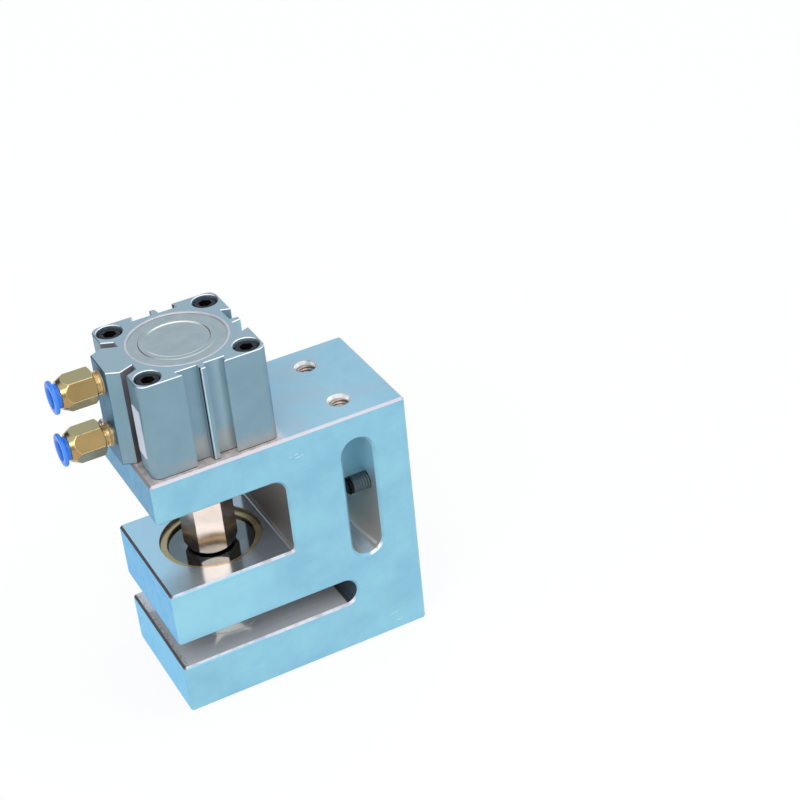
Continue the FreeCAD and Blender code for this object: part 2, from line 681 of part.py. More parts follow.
def retaining_ring():
    """Open spring ring in the groove below the front cover, with two plier holes at its gap."""
    z1 = FRONT_COVER_Z0
    z0 = z1 - RETAINER_T
    outer = RETAINER_GROOVE_R - SEAT_CLEARANCE
    inner = outer - RETAINER_W
    body = ring(inner, outer, z0, z1)
    body = body.cut(box(0, 2 * outer, -RETAINER_GAP_HALF, RETAINER_GAP_HALF, z0 - 1, z1 + 1))
    lug_x = inner - LUG_INSIDE
    for y in (-LUG_Y, LUG_Y):
        lug = disc(LUG_R, z0, z1, lug_x, y).cut(disc(LUG_HOLE_R, z0 - 1, z1 + 1, lug_x, y))
        body = body.fuse(lug)
    return body


def rod_bush():
    return ring(ROD_R + SLIDE_CLEARANCE, ROD_BUSH_R, FRONT_COVER_Z0, FRONT_COVER_Z1 - ROD_SEAL_H)


def rod_seal():
    outer = ROD_SEAL_R - SEAT_CLEARANCE
    return ring(ROD_R + SEAL_CLEARANCE, outer, FRONT_COVER_Z1 - ROD_SEAL_H, FRONT_COVER_Z1, FINE_BEVEL)


def bottom_bumper():
    z0 = FRONT_COVER_Z1
    return ring(BUMPER_R_IN, BUMPER_R_IN + BUMPER_W, z0, z0 + BUMPER_H, FINE_BEVEL)


def top_bumper():
    return ring(BUMPER_R_IN, BUMPER_R_IN + BUMPER_W, TOP_BUMPER_Z0, BACK_COVER_Z0, FINE_BEVEL)


def cylinder_screw(x, y):
    """Socket cap screw through the barrel into the top arm."""
    head_top = BARREL_TOP - SCREW_SINK
    head_low = head_top - SCREW_HEAD_H
    tip = BLOCK_TOP - SCREW_IN_ARM
    b = TURNED_BEVEL
    body = turned([
        (0, tip), (SCREW_R - b, tip), (SCREW_R, tip + b), (SCREW_R, head_low), (SCREW_HEAD_R, head_low),
        (SCREW_HEAD_R, head_top - b), (SCREW_HEAD_R - b, head_top), (0, head_top)])
    body = body.cut(hexagon(SCREW_HEX, head_top - SCREW_HEX_DEPTH, head_top + 1))
    body.translate(vec(x, y, 0))
    return body


# Push-in fittings: built along +Z from the boss face, then turned to point along -X

def fitting_thread():
    """Threaded shank; only the turns between the boss and the hexagon are cut as ridges."""
    r = THREAD_R
    core = r - THREAD_DEPTH
    ridge_end = THREAD_SHOWING - THREAD_RELIEF
    outline = [(AIR_WAY_R, -PORT_DEPTH), (core, -PORT_DEPTH), (r, -PORT_DEPTH + TURNED_BEVEL), (r, 0)]
    crest = 0.0
    while crest + THREAD_PITCH < ridge_end:
        outline += [(core, crest + THREAD_PITCH / 2), (r, crest + THREAD_PITCH)]
        crest += THREAD_PITCH
    outline += [(core, ridge_end), (core, THREAD_SHOWING + 1), (AIR_WAY_R, THREAD_SHOWING + 1)]
    return turned(outline)


def fitting_bore():
    """Air way, tube seat and the wider cavity for the seal, the collet and the sleeve."""
    seat = CAVITY_START - TUBE_SEAT_LEN
    past = BODY_MOUTH + 1
    return turned([
        (0, -PORT_DEPTH - 1), (AIR_WAY_R, -PORT_DEPTH - 1), (AIR_WAY_R, seat), (TUBE_SEAT_R, seat),
        (TUBE_SEAT_R, CAVITY_START), (CAVITY_R, CAVITY_START), (CAVITY_R, past), (0, past)])


def fitting_body(turn):
    """Hexagonal body with a bevelled back and a long cone down to its round mouth."""
    z0 = THREAD_SHOWING
    z1 = BODY_MOUTH
    af = 2 * FITTING_HALF_AF
    past_r = corner_radius(af) + SEAT_CLEARANCE
    back_r = FITTING_HALF_AF - HEX_FLAT_EDGE
    envelope = turned([
        (0, z0), (back_r, z0), (past_r, z0 + HEX_BACK_BEVEL), (past_r, z1 - HEX_CONE_LEN),
        (MOUTH_R, z1), (0, z1)])
    shell = hexagon(af, z0, z1, turn).common(envelope)
    return fitting_thread().fuse(shell).cut(fitting_bore()).removeSplitter()


def fitting_seal():
    z0 = CAVITY_START
    return ring(TUBE_SEAT_R, CAVITY_R - SEAT_CLEARANCE, z0, z0 + FITTING_SEAL_H, FINE_BEVEL)


def fitting_collet():
    """Thin toothed gripping washer."""
    z0 = CAVITY_START + FITTING_SEAL_H
    z1 = z0 + COLLET_T
    half = COLLET_SLIT_W / 2
    body = ring(TUBE_SEAT_R, CAVITY_R - SEAT_CLEARANCE, z0, z1)
    for k in range(COLLET_TEETH):
        slit = box(0, COLLET_SLIT_END, -half, half, z0 - 1, z1 + 1)
        slit.rotate(vec(0, 0, 0), UP, k * 360 / COLLET_TEETH)
        body = body.cut(slit)
    return body


def fitting_sleeve():
    z0 = CAVITY_START + FITTING_SEAL_H + COLLET_T
    return ring(COLLAR_R + SLIDE_CLEARANCE, CAVITY_R - SEAT_CLEARANCE, z0, BODY_MOUTH)


def release_collar():
    """Flanged tube that is pushed in to free the hose."""
    z1 = FLANGE_START + FLANGE_T
    body = turned([
        (COLLAR_BORE_R, COLLAR_START), (COLLAR_R, COLLAR_START), (COLLAR_R, FLANGE_START),
        (FLANGE_R, FLANGE_START), (FLANGE_R, z1), (COLLAR_BORE_R + FUNNEL_W, z1),
        (COLLAR_BORE_R, z1 - FUNNEL_DEPTH)])
    flat = [e for e in body.Edges if e.BoundBox.ZLength < 0.01]
    return body.makeFillet(FLANGE_ROUND, [e for e in flat if abs(e.BoundBox.XLength - 2 * FLANGE_R) < 0.01])


def thread_sealant():
    """Bead of sealing compound on the thread beside the boss face."""
    inner = THREAD_R + SEAT_CLEARANCE / 2
    outer = THREAD_R + BEAD_W
    low = SEAT_CLEARANCE
    high = BEAD_LEN
    return turned([(inner, low), (outer, low), (outer - FINE_BEVEL, high - FINE_BEVEL), (inner, high)])


def export_fittings():
    pieces = {
        "release_collar": release_collar(), "fitting_sleeve": fitting_sleeve(),
        "fitting_seal": fitting_seal(), "fitting_collet": fitting_collet(),
        "thread_sealant": thread_sealant()}
    upper = ("upper", PORT_UPPER_AT, 0, UPPER_FITTING_TURN)
    lower = ("lower", PORT_LOWER_AT, LOWER_FITTING_OUT, LOWER_FITTING_TURN)
    for side, height, out, turn in (upper, lower):
        pieces["fitting_body"] = fitting_body(turn)
        for name, piece in pieces.items():
            save(point_outward(piece, -BOSS_X - out, height), name + "_" + side)


def blank_label():
    """Bare sticker in the middle of the front pillar on the -Y side."""
    x = -BARREL_HALF
    y = -(POCKET_MOUTH_HALF + BARREL_HALF - BARREL_CORNER_R) / 2
    z = BLOCK_TOP + LABEL_UP
    return box(x - LABEL_T, x, y - LABEL_W / 2, y + LABEL_W / 2, z, z + LABEL_H)


os.makedirs("parts", exist_ok=True)
save(frame_block(), "frame_block")
save(rail_clamp_screw(-CLAMP_SCREW_Y), "rail_clamp_screw_right")
save(rail_clamp_screw(CLAMP_SCREW_Y), "rail_clamp_screw_left")
save(guide_bush(), "guide_bush")
save(stripper_plate(), "stripper_plate")
save(punch(), "punch")
save(die_insert(), "die_insert")
save(die_ring(), "die_ring")
save(hex_coupler(), "hex_coupler")
save(piston_rod(), "piston_rod")
save(piston(), "piston")
save(piston_seal(), "piston_seal")
save(piston_magnet(), "piston_magnet")
save(piston_nut(), "piston_nut")
save(cylinder_barrel(), "cylinder_barrel")
save(back_cover(), "back_cover")
save(cover_seal(BACK_SEAT_R, BACK_COVER_Z0), "back_cover_seal")
save(front_cover(), "front_cover")
save(cover_seal(FRONT_SEAT_R, FRONT_COVER_Z0), "front_cover_seal")
save(retaining_ring(), "retaining_ring")
save(rod_bush(), "rod_bush")
save(rod_seal(), "rod_seal")
save(bottom_bumper(), "bottom_bumper")
save(top_bumper(), "top_bumper")
for number, place in enumerate(bolt_places(), 1):
    save(cylinder_screw(*place), "cylinder_screw_%d" % number)
export_fittings()
save(blank_label(), "blank_label")
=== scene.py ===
import bpy
import math
from mathutils import Matrix, Vector


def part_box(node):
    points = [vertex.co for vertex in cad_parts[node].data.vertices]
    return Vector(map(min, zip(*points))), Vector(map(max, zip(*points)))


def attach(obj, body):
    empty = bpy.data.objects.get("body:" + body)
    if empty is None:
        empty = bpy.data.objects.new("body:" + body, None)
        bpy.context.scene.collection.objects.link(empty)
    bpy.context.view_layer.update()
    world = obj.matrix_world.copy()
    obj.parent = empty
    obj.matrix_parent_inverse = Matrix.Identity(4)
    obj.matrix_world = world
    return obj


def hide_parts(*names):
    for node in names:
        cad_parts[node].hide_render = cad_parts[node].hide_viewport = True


# Lengths are in metres and places in the part's own frame: X to the back, Y across, Z up,
# with the punch axis at x = y = 0 and the base at z = 0. Material patterns are given in millimetres.
MM = 0.001

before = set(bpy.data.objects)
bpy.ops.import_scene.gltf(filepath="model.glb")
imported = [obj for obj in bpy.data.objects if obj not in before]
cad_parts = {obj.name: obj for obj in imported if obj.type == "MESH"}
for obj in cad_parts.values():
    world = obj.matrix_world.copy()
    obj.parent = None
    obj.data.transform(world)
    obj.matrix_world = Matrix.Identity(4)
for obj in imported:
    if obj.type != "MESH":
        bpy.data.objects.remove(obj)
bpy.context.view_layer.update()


# Colours, node trees and materials

def srgb(code):
    """Linear colour of an sRGB hex code."""
    shares = [int(code[k:k + 2], 16) / 255 for k in (1, 3, 5)]
    return tuple(c / 12.92 if c <= 0.04045 else ((c + 0.055) / 1.055) ** 2.4 for c in shares) + (1.0,)


def add(tree, kind, inputs=None, **settings):
    """Adds a node, with its settings, input values and links."""
    node = tree.nodes.new("ShaderNode" + kind)
    for name, value in settings.items():
        setattr(node, name, value)
    for key, value in (inputs or {}).items():
        if isinstance(value, bpy.types.NodeSocket):
            tree.links.new(value, node.inputs[key])
        else:
            node.inputs[key].default_value = value
    return node


def math_of(tree, operation, a, b=0.0):
    """Result of one step of arithmetic or one comparison, which gives 1 where it holds."""
    return add(tree, "Math", {0: a, 1: b}, operation=operation).outputs[0]


def most(tree, values):
    """Largest of several values."""
    result = values[0]
    for value in values[1:]:
        result = math_of(tree, "MAXIMUM", result, value)
    return result


def product(tree, *values):
    """Product of several values; of masks, the part that they share."""
    result = values[0]
    for value in values[1:]:
        result = math_of(tree, "MULTIPLY", result, value)
    return result


def blended(tree, share, a, b):
    """Colour between a and b."""
    return add(tree, "Mix", {0: share, 6: a, 7: b}, data_type="RGBA").outputs[2]


def between(tree, value, low, high, start=0.0, end=1.0):
    """Value mapped smoothly from low..high to start..end."""
    inputs = {0: value, 1: low, 2: high, 3: start, 4: end}
    return add(tree, "MapRange", inputs, interpolation_type="SMOOTHSTEP").outputs[0]


def place_mm(tree, stretch=(1, 1, 1), turn=(0, 0, 0)):
    """Place on the piece in millimetres, turned and then divided by a stretch."""
    place = add(tree, "TexCoord").outputs["Object"]
    scaled = add(tree, "Mapping", {"Vector": place, "Scale": (1000, 1000, 1000)})
    scale = tuple(1 / s for s in stretch)
    return add(tree, "Mapping", {"Vector": scaled.outputs[0], "Scale": scale, "Rotation": turn}).outputs[0]


def cloud(tree, place, size, detail=3.0, rough=0.55):
    """Noise from 0 to 1 whose lumps are about size millimetres."""
    inputs = {"Vector": place, "Scale": 1 / size, "Detail": detail, "Roughness": rough}
    return add(tree, "TexNoise", inputs).outputs[0]


def bumped(tree, height, depth, normal=None):
    """Normal of a surface raised by height times depth millimetres."""
    inputs = {"Height": height, "Strength": 1.0, "Distance": depth * MM}
    if normal is not None:
        inputs["Normal"] = normal
    return add(tree, "Bump", inputs).outputs[0]


def stroke(tree, place, start, end, width):
    """1 on a line between two places, fading out over its width."""
    start, end = Vector(start), Vector(end)
    run = end - start
    from_start = add(tree, "VectorMath", {0: place, 1: start}, operation="SUBTRACT").outputs[0]
    per_run = run / run.dot(run)
    along = add(tree, "VectorMath", {0: from_start, 1: per_run}, operation="DOT_PRODUCT").outputs["Value"]
    share = add(tree, "Clamp", {0: along}).outputs[0]
    nearest = add(tree, "VectorMath", {0: run, "Scale": share}, operation="SCALE").outputs[0]
    gap = add(tree, "VectorMath", {0: from_start, 1: nearest}, operation="DISTANCE").outputs["Value"]
    return between(tree, gap, width, 0.0)


def soft_edge(tree, radius):
    """Normal that rounds the edges by a radius in millimetres."""
    return add(tree, "Bevel", {"Radius": radius * MM}, samples=6).outputs[0]


def new_material(name):
    """Empty material and its node tree."""
    made = bpy.data.materials.new(name)
    made.use_nodes = True
    made.node_tree.nodes.clear()
    return made, made.node_tree


def finish_material(made, **inputs):
    """Adds the surface shader with its inputs and joins it to the output."""
    tree = made.node_tree
    keys = {name.replace("_", " "): value for name, value in inputs.items()}
    shader = add(tree, "BsdfPrincipled", keys)
    add(tree, "OutputMaterial", {"Surface": shader.outputs[0]})
    return made


def dress(made, *names):
    """Gives CAD nodes this material in all their slots."""
    for name in names:
        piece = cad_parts[name]
        if not piece.material_slots:
            piece.data.materials.append(made)
        for held in piece.material_slots:
            held.material = made


# Frame block: light blue satin finish outside, bare machined aluminium in the slots and on the edges

# Faces of the block, width of its bevels, and places on it.
SIDE = 30.0
FRONT = -30.5
BACK = 82.5
TOP = 117.0
EDGE = 1.05
FACE_DEPTH = 0.05
TAP_X = 59.0
TAP_Y = 16.0
TAP_CLEAR = 4.95
TAP_BOTTOM = 100.0
COLUMN_X = 50.0
SLOT_TOP = 106.0
LOW_ARM_TOP = 30.0
FILM_GAP_TOP = 50.0
GAP_END_X = (45.4, 51.7)
GAP_END_Z = (23.9, 36.2)

# Heights over which one tone gives way to the next.
TO_TOP_ARM = (64, 96)
TO_LOW_ARM = (30, 18)
TO_WINDOW_TOP = (80, 100)

# The slot's wall is lit from the near side, so its tones climb by this much per millimetre inward.
SLOT_LIGHT_SLOPE = 0.71
SLOT_LOW = (56, 76)
SLOT_HIGH = (80, 93)
SLOT_GLEAM = ((63.9, -27, 47.9), (61.8, -4, 46.6))

# Ends of the scuffs on the side, as x and z.
SCUFFS = (
    ((29.4, 107.8), (32.6, 108.5)), ((31.6, 106.7), (34.8, 106.9)),
    ((64.6, 8.7), (69.0, 10.1)), ((68.2, 5.0), (70.8, 5.0)))


def frame_finish():
    """Machined aluminium with a satin light blue finish: soft gloss outside, bare metal in the openings painted
    bright, with painted light and shade on the front, the bevels, the slots and the top strip.
    """
    made, tree = new_material("frame_blue")
    plain = place_mm(tree)
    parts = add(tree, "SeparateXYZ", {0: plain}).outputs
    x, y, z = parts[0], parts[1], parts[2]
    facing = add(tree, "SeparateXYZ", {0: add(tree, "NewGeometry").outputs["Normal"]}).outputs
    across = math_of(tree, "ABSOLUTE", y)
    upper = math_of(tree, "GREATER_THAN", z, TOP - FACE_DEPTH)
    front = math_of(tree, "LESS_THAN", x, FRONT + FACE_DEPTH)
    skin = most(tree, [
        math_of(tree, "GREATER_THAN", across, SIDE - FACE_DEPTH), front,
        math_of(tree, "GREATER_THAN", x, BACK - FACE_DEPTH), upper, math_of(tree, "LESS_THAN", z, FACE_DEPTH)])

    # Bevels follow the outer faces; only those that look up are bare and carry a painted highlight, and in a slot
    # only in painted glints.
    turned = [math_of(tree, "ABSOLUTE", facing[k]) for k in (0, 1)]
    rims = [
        most(tree, [math_of(tree, "LESS_THAN", x, FRONT + EDGE), math_of(tree, "GREATER_THAN", x, BACK - EDGE)]),
        math_of(tree, "GREATER_THAN", across, SIDE - EDGE)]
    bevel = most(tree, [
        product(tree, between(tree, turned[k], 0.96, 0.94), math_of(tree, "GREATER_THAN", turned[k], 0.3), rims[k])
        for k in (0, 1)])
    lit_bevel = product(tree, bevel, between(tree, facing[2], 0.25, 0.5))
    in_slot = product(tree, math_of(tree, "GREATER_THAN", x, COLUMN_X), between(tree, z, SLOT_TOP, SLOT_TOP - 1))
    glint = product(tree, between(tree, x, 58.5, 60.5), between(tree, cloud(tree, plain, 1.6, 2), 0.36, 0.46))
    lit_bevel = product(tree, lit_bevel, add(tree, "Mix", {0: in_slot, 2: 1.0, 3: glint}).outputs[0])
    fraying = math_of(tree, "ADD", SIDE - 0.62, product(tree, cloud(tree, plain, 2.5, 3), 0.4))
    fraying = math_of(tree, "ADD", fraying, between(tree, x, 2, 20, 0.0, 0.6))
    narrow = product(tree, math_of(tree, "LESS_THAN", z, 100), math_of(tree, "GREATER_THAN", across, fraying))
    lit_bevel = math_of(tree, "SUBTRACT", lit_bevel, product(tree, lit_bevel, narrow))
    # Painted shade: the bevels along the front are painted dark.
    dull = product(tree, lit_bevel, math_of(tree, "LESS_THAN", x, FRONT + EDGE))
    skin = most(tree, [skin, math_of(tree, "SUBTRACT", bevel, lit_bevel)])

    # The blue skin is mottled in soft patches; the front is painted deeper blue as painted bounce light, with
    # painted shade on the upper arm and painted light on the low arm; the top is greyer with lilac clouds.
    patches = cloud(tree, place_mm(tree, (1.6, 1.6, 1.0), (0, 0.5, 0)), 16, 4, 0.6)
    fine = cloud(tree, place_mm(tree, (1, 1, 2.2), (0, 0.3, 0)), 4, 3, 0.6)
    mottle = between(tree, math_of(tree, "ADD", patches, product(tree, fine, 0.35)), 0.45, 0.9)
    blue = blended(tree, mottle, srgb("#86BDD6"), srgb("#91CADD"))
    deep = blended(tree, mottle, srgb("#5EB6EA"), srgb("#6AC0EC"))
    front_top_shade = blended(tree, mottle, srgb("#5098C2"), srgb("#58A2C8"))
    deep = blended(tree, between(tree, z, *TO_TOP_ARM), deep, front_top_shade)
    front_low_light = blended(tree, mottle, srgb("#70C8F2"), srgb("#7ACEF4"))
    deep = blended(tree, between(tree, z, *TO_LOW_ARM), deep, front_low_light)
    paler = product(tree, between(tree, z, 34, 42), between(tree, z, 66, 58), between(tree, x, 28, -4), 0.6)
    blue = blended(tree, paler, blue, srgb("#9CD6E8"))
    blue = blended(tree, front, blue, deep)
    greyer = blended(tree, mottle, srgb("#9CCADE"), srgb("#A8D2E2"))
    greyer = blended(tree, between(tree, cloud(tree, plain, 18, 1, 0.4), 0.38, 0.7), greyer, srgb("#AECAD8"))
    blue = blended(tree, upper, blue, greyer)

    # The strip of the top face under and beside the cylinder is painted a warm grey: a painted reflection of the
    # light bounced between it and the cylinder.
    warm_bounce_strip = product(tree, upper, between(tree, x, 25.0, 31.0, 1.0, 0.0))
    warm = blended(tree, between(tree, fine, 0.35, 0.65), srgb("#D4C8C4"), srgb("#F2E8E2"))
    blue = blended(tree, warm_bounce_strip, blue, warm)

    # Machined faces: fine cutter marks on the walls; the arms' upper faces are ground smooth.
    # Real cutter marks are finer than 0.1 mm; these are 0.4 mm apart, so that they show.
    polished = math_of(tree, "GREATER_THAN", facing[2], 0.9)
    marks = cloud(tree, place_mm(tree, (30, 0.6, 30)), 0.7, 2)
    smears = cloud(tree, place_mm(tree, (16, 1.2, 1)), 1.6, 3, 0.5)
    grey = blended(tree, marks, srgb("#8E8A8A"), srgb("#A8A4A2"))
    # Painted light and shade on the slot's wall: darker near the opening, paler deeper in, a painted reflection of
    # bright blue up high, and a painted highlight line (the gleam) near the bottom.
    inward = math_of(tree, "ADD", y, SIDE)
    level = math_of(tree, "ADD", z, product(tree, inward, SLOT_LIGHT_SLOPE))
    deeper = between(tree, inward, 4, 26)
    slot_near = blended(tree, between(tree, level, *SLOT_LOW), srgb("#A6A49E"), srgb("#8E989C"))
    slot_deep = blended(tree, between(tree, level, *SLOT_LOW), srgb("#E0DED6"), srgb("#C6D0CE"))
    slot_low = blended(tree, deeper, slot_near, slot_deep)
    slot_high = blended(tree, deeper, srgb("#8CC2D8"), srgb("#A0ECFF"))
    slot_wall = blended(tree, between(tree, level, *SLOT_HIGH), slot_low, slot_high)
    gleam = product(tree, stroke(tree, plain, *SLOT_GLEAM, 1.1), 0.5)
    slot_wall = blended(tree, gleam, slot_wall, srgb("#FFFFFF"))
    grey = blended(tree, in_slot, grey, slot_wall)
    # The arms' upper faces carry a painted reflection of blue near the front, greyer further in.
    blue_reflection = between(tree, math_of(tree, "SUBTRACT", x, product(tree, y, 0.35)), -24, -8)
    shine = blended(tree, blue_reflection, srgb("#B0DEF2"), srgb("#AAB8C2"))
    shine = blended(tree, product(tree, smears, 0.35), shine, srgb("#D0DCE4"))
    low_arm = math_of(tree, "LESS_THAN", z, LOW_ARM_TOP)
    dirt = between(tree, cloud(tree, plain, 0.9, 2), 0.42, 0.62, 0.0, 0.7)
    spots = product(tree, between(tree, x, -27, -29.5), dirt)
    low_shine = blended(tree, smears, srgb("#CED4DA"), srgb("#DEE4E8"))
    low_shine = blended(tree, spots, low_shine, srgb("#7A7072"))
    shine = blended(tree, low_arm, shine, low_shine)
    bare = blended(tree, polished, grey, shine)
    under = math_of(tree, "LESS_THAN", facing[2], -0.9)
    shaded = blended(tree, math_of(tree, "LESS_THAN", z, FILM_GAP_TOP), srgb("#C4C8CC"), srgb("#84888E"))
    bare = blended(tree, under, bare, shaded)

    # The round end of the film slot is painted dull and dark as painted shade, behind a painted highlight line.
    gap_end = product(
        tree, math_of(tree, "GREATER_THAN", x, GAP_END_X[0]), math_of(tree, "LESS_THAN", x, GAP_END_X[1]),
        math_of(tree, "LESS_THAN", z, GAP_END_Z[1]), math_of(tree, "GREATER_THAN", z, GAP_END_Z[0]))
    gap_highlight_line = between(tree, x, GAP_END_X[0] + 1.2, GAP_END_X[0] + 0.8)
    bare = blended(tree, gap_end, bare, blended(tree, gap_highlight_line, srgb("#46525C"), srgb("#D0D6D8")))

    # Bevels with the painted highlight are silvery, warmer on top and brightest in the slot; along the front they
    # are painted dull and dark as painted shade.
    higher = between(tree, z, *TO_WINDOW_TOP)
    edge_highlight = blended(tree, between(tree, cloud(tree, plain, 5, 3), 0.35, 0.6), srgb("#B6B2BA"), srgb("#D2CFD6"))
    bare = blended(tree, lit_bevel, bare, blended(tree, higher, edge_highlight, srgb("#D0C6CC")))
    bare = blended(tree, product(tree, lit_bevel, in_slot), bare, srgb("#F6F6FA"))
    bare = blended(tree, dull, bare, blended(tree, higher, srgb("#8A7E82"), srgb("#C4B8BC")))

    # A few short scuffs on the side.
    on_side = add(tree, "CombineXYZ", {0: x, 1: z}).outputs[0]
    scuffs = most(tree, [stroke(tree, on_side, (*a, 0), (*b, 0), 0.5) for a, b in SCUFFS])
    broken = between(tree, cloud(tree, plain, 0.8, 2), 0.35, 0.6)
    scuffs = product(tree, scuffs, math_of(tree, "LESS_THAN", y, -SIDE + FACE_DEPTH), broken)
    blue = blended(tree, product(tree, scuffs, 0.7), blue, srgb("#DCEEF6"))

    # The tapped holes have a painted highlight on the countersink and painted shade on the threads.
    off_x = math_of(tree, "SUBTRACT", x, TAP_X)
    off_y = math_of(tree, "SUBTRACT", across, TAP_Y)
    off = math_of(tree, "ADD", product(tree, off_x, off_x), product(tree, off_y, off_y))
    in_tap = product(
        tree, math_of(tree, "LESS_THAN", off, TAP_CLEAR ** 2), math_of(tree, "LESS_THAN", z, TOP - FACE_DEPTH),
        math_of(tree, "GREATER_THAN", z, TAP_BOTTOM))
    tap = blended(tree, between(tree, z, 114.9, 115.5), srgb("#B4A8A2"), srgb("#FAFAFA"))
    bare = blended(tree, in_tap, bare, tap)
    colour = blended(tree, skin, bare, blue)

    rough_skin = between(tree, cloud(tree, plain, 5, 4), 0.3, 0.7, 0.38, 0.5)
    rough_wall = between(tree, marks, 0.2, 0.8, 0.34, 0.46)
    rough_top = add(tree, "Mix", {0: low_arm, 2: between(tree, smears, 0.3, 0.7, 0.13, 0.19), 3: 0.12}).outputs[0]
    rough_bare = add(tree, "Mix", {0: polished, 2: rough_wall, 3: rough_top}).outputs[0]
    rough = add(tree, "Mix", {0: skin, 2: rough_bare, 3: rough_skin}).outputs[0]
    lines = cloud(tree, place_mm(tree, (1, 1, 14), (0, 0.35, 0)), 0.5, 2)
    normal = bumped(tree, lines, 0.008)
    metal_bare = add(tree, "Mix", {0: most(tree, [under, gap_end]), 2: 0.85, 3: 0.35}).outputs[0]
    metal_bare = add(tree, "Mix", {0: product(tree, low_arm, polished), 2: metal_bare, 3: 0.42}).outputs[0]
    metal_bare = add(tree, "Mix", {0: in_slot, 2: metal_bare, 3: 0.12}).outputs[0]
    metal = add(tree, "Mix", {0: skin, 2: metal_bare, 3: 0.6}).outputs[0]
    return finish_material(made, Base_Color=colour, Metallic=metal, Roughness=rough, Normal=normal)


# Cylinder: matt grey-blue anodised aluminium with fine extrusion lines along Z

# Places on the barrel, as distances along X, Y and Z.
BARREL_TOP = 160.0
PORT_FACE_X = -33.4
POCKET_X = (-28.2, -20)
POCKET_Y = (8.2, 14.7)
GROOVE_Y = 24.2
GROOVE_LINE_Y = 26.3
RIB_TOP_Y = 27.0


def barrel_finish():
    """Extruded aluminium, matt anodised: an even grey-blue whose fine lines soften every reflection."""
    made, tree = new_material("barrel_anodised")
    plain = place_mm(tree)
    parts = add(tree, "SeparateXYZ", {0: plain}).outputs
    x, y, z = parts[0], parts[1], parts[2]
    facing = add(tree, "SeparateXYZ", {0: add(tree, "NewGeometry").outputs["Normal"]}).outputs
    across = math_of(tree, "ABSOLUTE", y)
    lines = cloud(tree, place_mm(tree, (0.5, 0.5, 60)), 0.8, 3)
    tone = cloud(tree, plain, 14, 3)
    side = blended(tree, between(tree, tone, 0.3, 0.7), srgb("#7596A6"), srgb("#7E9FAF"))
    side = blended(tree, product(tree, lines, 0.25), side, srgb("#A0B6C2"))

    # The face with the ports is painted a deeper blue as painted shade; its pockets are painted dark as painted
    # shade, and the walls that look forward are painted lighter as painted light.
    boss = math_of(tree, "LESS_THAN", x, PORT_FACE_X)
    side = blended(tree, boss, side, srgb("#2A7092"))
    pocket = product(
        tree, math_of(tree, "LESS_THAN", across, POCKET_Y[1]), math_of(tree, "GREATER_THAN", across, POCKET_Y[0]),
        math_of(tree, "LESS_THAN", x, POCKET_X[1]), math_of(tree, "GREATER_THAN", x, POCKET_X[0]),
        math_of(tree, "LESS_THAN", z, BARREL_TOP - 0.1))
    pocket_shade = blended(tree, between(tree, z, 125, 145), srgb("#5C5A5E"), srgb("#7E7C82"))
    side = blended(tree, pocket, side, pocket_shade)
    wall = product(tree, math_of(tree, "LESS_THAN", facing[0], -0.5), math_of(tree, "GREATER_THAN", x, -22))
    side = blended(tree, wall, side, srgb("#9AAEB8"))
    # Painted light on the second groove's floor, lightest toward the pillar beyond it.
    groove = product(
        tree, math_of(tree, "LESS_THAN", across, GROOVE_Y), math_of(tree, "GREATER_THAN", x, 2.0),
        math_of(tree, "LESS_THAN", facing[1], -0.5))
    side = blended(tree, product(tree, groove, between(tree, x, 3, 9)), side, srgb("#A4C4D2"))
    # Painted shade: a thin dark line down the rib's wall.
    from_line = math_of(tree, "ABSOLUTE", math_of(tree, "SUBTRACT", across, GROOVE_LINE_Y))
    side = blended(tree, product(tree, wall, between(tree, from_line, 0.7, 0.3)), side, srgb("#20262C"))
    # Painted highlight along the rib's crest.
    crest = product(
        tree, math_of(tree, "GREATER_THAN", x, -1.15), math_of(tree, "LESS_THAN", x, -0.5),
        math_of(tree, "GREATER_THAN", across, RIB_TOP_Y))
    side = blended(tree, crest, side, srgb("#B4CAD4"))

    # A painted warm reflection of the block's top face rises up the foot, most of all in the grooves, over a thin
    # dark seam of painted shadow.
    deep = between(tree, across, 27.1, 26.4)
    uneven = product(tree, cloud(tree, plain, 6, 3), 5.0)
    reach = math_of(tree, "ADD", TOP + 2, math_of(tree, "ADD", product(tree, deep, 7.0), uneven))
    warm_reflection = between(tree, math_of(tree, "SUBTRACT", z, reach), -4.0, 3.0, 0.5, 0.0)
    warm_reflection = product(tree, warm_reflection, math_of(tree, "LESS_THAN", facing[1], -0.5), between(tree, x, -22, -8, 0.2, 1.0))
    side = blended(tree, warm_reflection, side, srgb("#B4A89C"))
    side = blended(tree, math_of(tree, "LESS_THAN", z, TOP + 0.3), side, srgb("#5C4A48"))

    top = math_of(tree, "GREATER_THAN", z, BARREL_TOP - 0.03)
    colour = blended(tree, top, side, srgb("#A4BAC4"))
    # Painted highlight on the top edges that look to -Y.
    edge = product(
        tree, math_of(tree, "GREATER_THAN", z, BARREL_TOP - 0.3), math_of(tree, "LESS_THAN", z, BARREL_TOP - 0.02),
        math_of(tree, "LESS_THAN", facing[1], -0.2))
    colour = blended(tree, edge, colour, srgb("#F0ECF2"))
    rough = add(tree, "Mix", {0: edge, 2: between(tree, tone, 0.3, 0.7, 0.4, 0.48), 3: 0.3}).outputs[0]
    normal = bumped(tree, lines, 0.008)
    metal = add(tree, "Mix", {0: pocket, 2: 0.7, 3: 0.25}).outputs[0]
    return finish_material(made, Base_Color=colour, Metallic=metal, Roughness=rough, Normal=normal)


RIDGE_R = 13.3
LATHE_TURNS = 16.0


